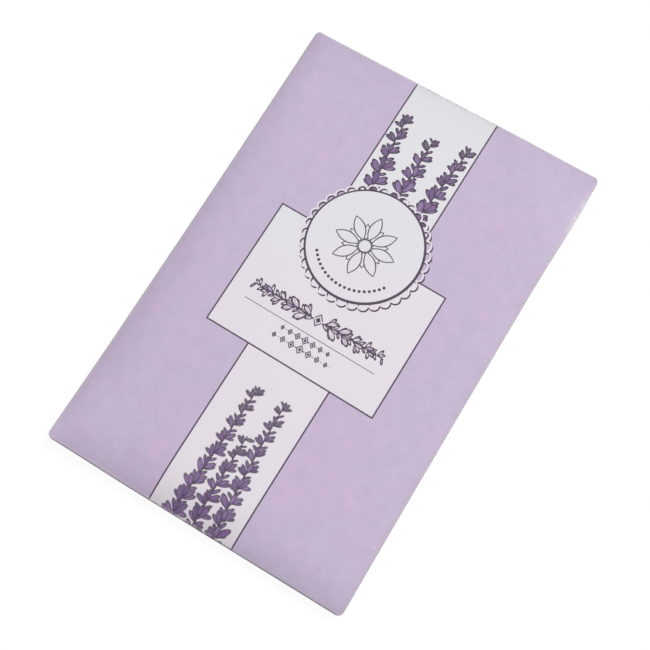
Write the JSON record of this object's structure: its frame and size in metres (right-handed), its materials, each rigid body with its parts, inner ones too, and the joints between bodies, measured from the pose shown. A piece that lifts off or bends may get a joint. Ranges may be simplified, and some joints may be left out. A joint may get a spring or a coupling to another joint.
{
  "type": "scented sachet",
  "caption": "Flat folded paper sachet with a lapped back seam and glued end flaps around a sealed pouch of scented granules, to lay in a drawer.",
  "frame": {"origin": "on the resting plane, under the middle of the sachet", "axes": "+X across the width, +Y along the length towards the closing flap, +Z out of the printed front"},
  "size_m": [0.115, 0.175, 0.0066],
  "materials": {
    "printed_paper": "satin",
    "glue": "satin",
    "nonwoven": "matte",
    "granules": "matte"
  },
  "bodies": {
    "root": {"envelope": "printed_paper", "centre_seam_glue": "glue", "bottom_flap_glue": "glue", "top_flap_glue": "glue", "inner_pouch_front_ply": "nonwoven", "inner_pouch_back_ply": "nonwoven", "granule_fill": "granules"}
  },
  "joints": []
}
